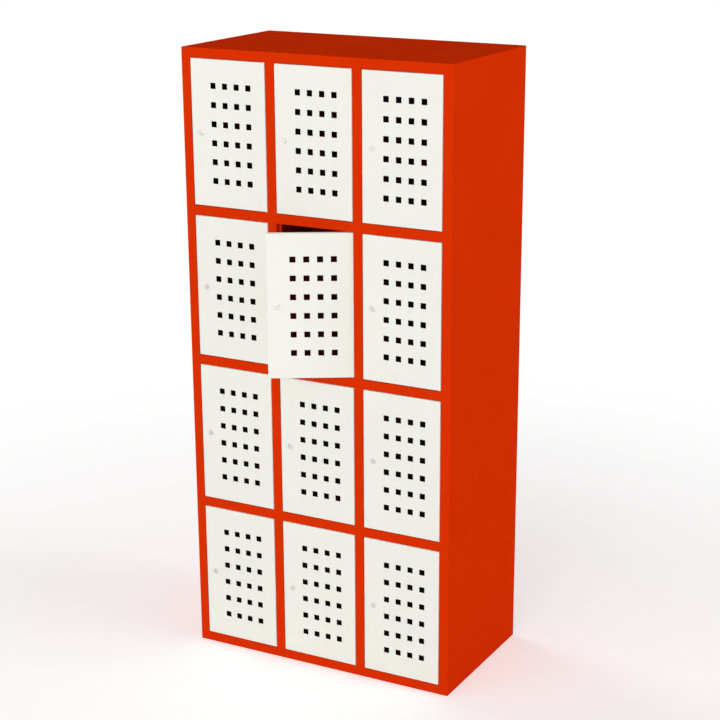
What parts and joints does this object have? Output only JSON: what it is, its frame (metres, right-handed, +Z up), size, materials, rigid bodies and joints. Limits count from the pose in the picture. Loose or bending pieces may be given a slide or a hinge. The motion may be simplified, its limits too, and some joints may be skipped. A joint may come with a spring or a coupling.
{
  "type": "bag locker",
  "caption": "Tall folded-steel locker with open compartments in rows and columns, each shut by an inset perforated door with a cam lock, hung on hinge rods.",
  "frame": {"origin": "on the ground under the middle of the carcass, on the crown of the base stiffener", "axes": "+X to the right as seen from the front, +Y from the doors to the back, +Z up"},
  "size_m": [0.9, 0.6248, 1.93],
  "materials": {
    "red_powder_coat": "satin powder coat",
    "white_powder_coat": "satin powder coat",
    "zinc_steel": "zinc plated",
    "lock_bezel": "satin nickel plate",
    "lock_plug": "nickel plate"
  },
  "bodies": {
    "carcass": {"side_panel_left": "red_powder_coat", "side_panel_right": "red_powder_coat", "top_panel": "red_powder_coat", "base_panel": "red_powder_coat", "base_stiffener": "red_powder_coat", "back_panel": "red_powder_coat", "upright_1": "red_powder_coat", "partition_1": "red_powder_coat", "upright_2": "red_powder_coat", "partition_2": "red_powder_coat", "shelf_row1_col1": "red_powder_coat", "shelf_row2_col1": "red_powder_coat", "shelf_row3_col1": "red_powder_coat", "shelf_row1_col2": "red_powder_coat", "shelf_row2_col2": "red_powder_coat", "shelf_row3_col2": "red_powder_coat", "shelf_row1_col3": "red_powder_coat", "shelf_row2_col3": "red_powder_coat", "shelf_row3_col3": "red_powder_coat", "hinge_rod_col1": "zinc_steel", "hinge_rod_col2": "zinc_steel", "hinge_rod_col3": "zinc_steel"},
    "door_row1_col1": {"door_row1_col1": "white_powder_coat", "lock_housing_row1_col1": "lock_bezel"},
    "lock_plug_row1_col1": {"lock_plug_row1_col1": "lock_plug"},
    "door_row2_col1": {"door_row2_col1": "white_powder_coat", "lock_housing_row2_col1": "lock_bezel"},
    "lock_plug_row2_col1": {"lock_plug_row2_col1": "lock_plug"},
    "door_row3_col1": {"door_row3_col1": "white_powder_coat", "lock_housing_row3_col1": "lock_bezel"},
    "lock_plug_row3_col1": {"lock_plug_row3_col1": "lock_plug"},
    "door_row4_col1": {"door_row4_col1": "white_powder_coat", "lock_housing_row4_col1": "lock_bezel"},
    "lock_plug_row4_col1": {"lock_plug_row4_col1": "lock_plug"},
    "door_row1_col2": {"door_row1_col2": "white_powder_coat", "lock_housing_row1_col2": "lock_bezel"},
    "lock_plug_row1_col2": {"lock_plug_row1_col2": "lock_plug"},
    "door_row2_col2": {"door_row2_col2": "white_powder_coat", "lock_housing_row2_col2": "lock_bezel"},
    "lock_plug_row2_col2": {"lock_plug_row2_col2": "lock_plug"},
    "door_row3_col2": {"door_row3_col2": "white_powder_coat", "lock_housing_row3_col2": "lock_bezel"},
    "lock_plug_row3_col2": {"lock_plug_row3_col2": "lock_plug"},
    "door_row4_col2": {"door_row4_col2": "white_powder_coat", "lock_housing_row4_col2": "lock_bezel"},
    "lock_plug_row4_col2": {"lock_plug_row4_col2": "lock_plug"},
    "door_row1_col3": {"door_row1_col3": "white_powder_coat", "lock_housing_row1_col3": "lock_bezel"},
    "lock_plug_row1_col3": {"lock_plug_row1_col3": "lock_plug"},
    "door_row2_col3": {"door_row2_col3": "white_powder_coat", "lock_housing_row2_col3": "lock_bezel"},
    "lock_plug_row2_col3": {"lock_plug_row2_col3": "lock_plug"},
    "door_row3_col3": {"door_row3_col3": "white_powder_coat", "lock_housing_row3_col3": "lock_bezel"},
    "lock_plug_row3_col3": {"lock_plug_row3_col3": "lock_plug"},
    "door_row4_col3": {"door_row4_col3": "white_powder_coat", "lock_housing_row4_col3": "lock_bezel"},
    "lock_plug_row4_col3": {"lock_plug_row4_col3": "lock_plug"}
  },
  "joints": [
    {"name": "door_hinge_row1_col1", "type": "hinge", "parent": "carcass", "child": "door_row1_col1", "pos_m": [-0.166, -0.2455, 1.6775], "axis": [0, 0, 1], "range_deg": [0, 105]},
    {"name": "lock_row1_col1", "type": "hinge", "parent": "door_row1_col1", "child": "lock_plug_row1_col1", "pos_m": [-0.386, -0.25, 1.6775], "axis": [0, 1, 0], "range_deg": [0, 90]},
    {"name": "door_hinge_row2_col1", "type": "hinge", "parent": "carcass", "child": "door_row2_col1", "pos_m": [-0.166, -0.2455, 1.2025], "axis": [0, 0, 1], "range_deg": [0, 105]},
    {"name": "lock_row2_col1", "type": "hinge", "parent": "door_row2_col1", "child": "lock_plug_row2_col1", "pos_m": [-0.386, -0.25, 1.2025], "axis": [0, 1, 0], "range_deg": [0, 90]},
    {"name": "door_hinge_row3_col1", "type": "hinge", "parent": "carcass", "child": "door_row3_col1", "pos_m": [-0.166, -0.2455, 0.7275], "axis": [0, 0, 1], "range_deg": [0, 105]},
    {"name": "lock_row3_col1", "type": "hinge", "parent": "door_row3_col1", "child": "lock_plug_row3_col1", "pos_m": [-0.386, -0.25, 0.7275], "axis": [0, 1, 0], "range_deg": [0, 90]},
    {"name": "door_hinge_row4_col1", "type": "hinge", "parent": "carcass", "child": "door_row4_col1", "pos_m": [-0.166, -0.2455, 0.2525], "axis": [0, 0, 1], "range_deg": [0, 105]},
    {"name": "lock_row4_col1", "type": "hinge", "parent": "door_row4_col1", "child": "lock_plug_row4_col1", "pos_m": [-0.386, -0.25, 0.2525], "axis": [0, 1, 0], "range_deg": [0, 90]},
    {"name": "door_hinge_row1_col2", "type": "hinge", "parent": "carcass", "child": "door_row1_col2", "pos_m": [0.124, -0.2455, 1.6775], "axis": [0, 0, 1], "range_deg": [0, 105]},
    {"name": "lock_row1_col2", "type": "hinge", "parent": "door_row1_col2", "child": "lock_plug_row1_col2", "pos_m": [-0.096, -0.25, 1.6775], "axis": [0, 1, 0], "range_deg": [0, 90]},
    {"name": "door_hinge_row2_col2", "type": "hinge", "parent": "carcass", "child": "door_row2_col2", "pos_m": [0.124, -0.2455, 1.2025], "axis": [0, 0, 1], "range_deg": [-30, 75]},
    {"name": "lock_row2_col2", "type": "hinge", "parent": "door_row2_col2", "child": "lock_plug_row2_col2", "pos_m": [-0.06428, -0.3594, 1.2025], "axis": [-0.5, 0.866, 0], "range_deg": [0, 90]},
    {"name": "door_hinge_row3_col2", "type": "hinge", "parent": "carcass", "child": "door_row3_col2", "pos_m": [0.124, -0.2455, 0.7275], "axis": [0, 0, 1], "range_deg": [0, 105]},
    {"name": "lock_row3_col2", "type": "hinge", "parent": "door_row3_col2", "child": "lock_plug_row3_col2", "pos_m": [-0.096, -0.25, 0.7275], "axis": [0, 1, 0], "range_deg": [0, 90]},
    {"name": "door_hinge_row4_col2", "type": "hinge", "parent": "carcass", "child": "door_row4_col2", "pos_m": [0.124, -0.2455, 0.2525], "axis": [0, 0, 1], "range_deg": [0, 105]},
    {"name": "lock_row4_col2", "type": "hinge", "parent": "door_row4_col2", "child": "lock_plug_row4_col2", "pos_m": [-0.096, -0.25, 0.2525], "axis": [0, 1, 0], "range_deg": [0, 90]},
    {"name": "door_hinge_row1_col3", "type": "hinge", "parent": "carcass", "child": "door_row1_col3", "pos_m": [0.414, -0.2455, 1.6775], "axis": [0, 0, 1], "range_deg": [0, 105]},
    {"name": "lock_row1_col3", "type": "hinge", "parent": "door_row1_col3", "child": "lock_plug_row1_col3", "pos_m": [0.194, -0.25, 1.6775], "axis": [0, 1, 0], "range_deg": [0, 90]},
    {"name": "door_hinge_row2_col3", "type": "hinge", "parent": "carcass", "child": "door_row2_col3", "pos_m": [0.414, -0.2455, 1.2025], "axis": [0, 0, 1], "range_deg": [0, 105]},
    {"name": "lock_row2_col3", "type": "hinge", "parent": "door_row2_col3", "child": "lock_plug_row2_col3", "pos_m": [0.194, -0.25, 1.2025], "axis": [0, 1, 0], "range_deg": [0, 90]},
    {"name": "door_hinge_row3_col3", "type": "hinge", "parent": "carcass", "child": "door_row3_col3", "pos_m": [0.414, -0.2455, 0.7275], "axis": [0, 0, 1], "range_deg": [0, 105]},
    {"name": "lock_row3_col3", "type": "hinge", "parent": "door_row3_col3", "child": "lock_plug_row3_col3", "pos_m": [0.194, -0.25, 0.7275], "axis": [0, 1, 0], "range_deg": [0, 90]},
    {"name": "door_hinge_row4_col3", "type": "hinge", "parent": "carcass", "child": "door_row4_col3", "pos_m": [0.414, -0.2455, 0.2525], "axis": [0, 0, 1], "range_deg": [0, 105]},
    {"name": "lock_row4_col3", "type": "hinge", "parent": "door_row4_col3", "child": "lock_plug_row4_col3", "pos_m": [0.194, -0.25, 0.2525], "axis": [0, 1, 0], "range_deg": [0, 90]}
  ]
}
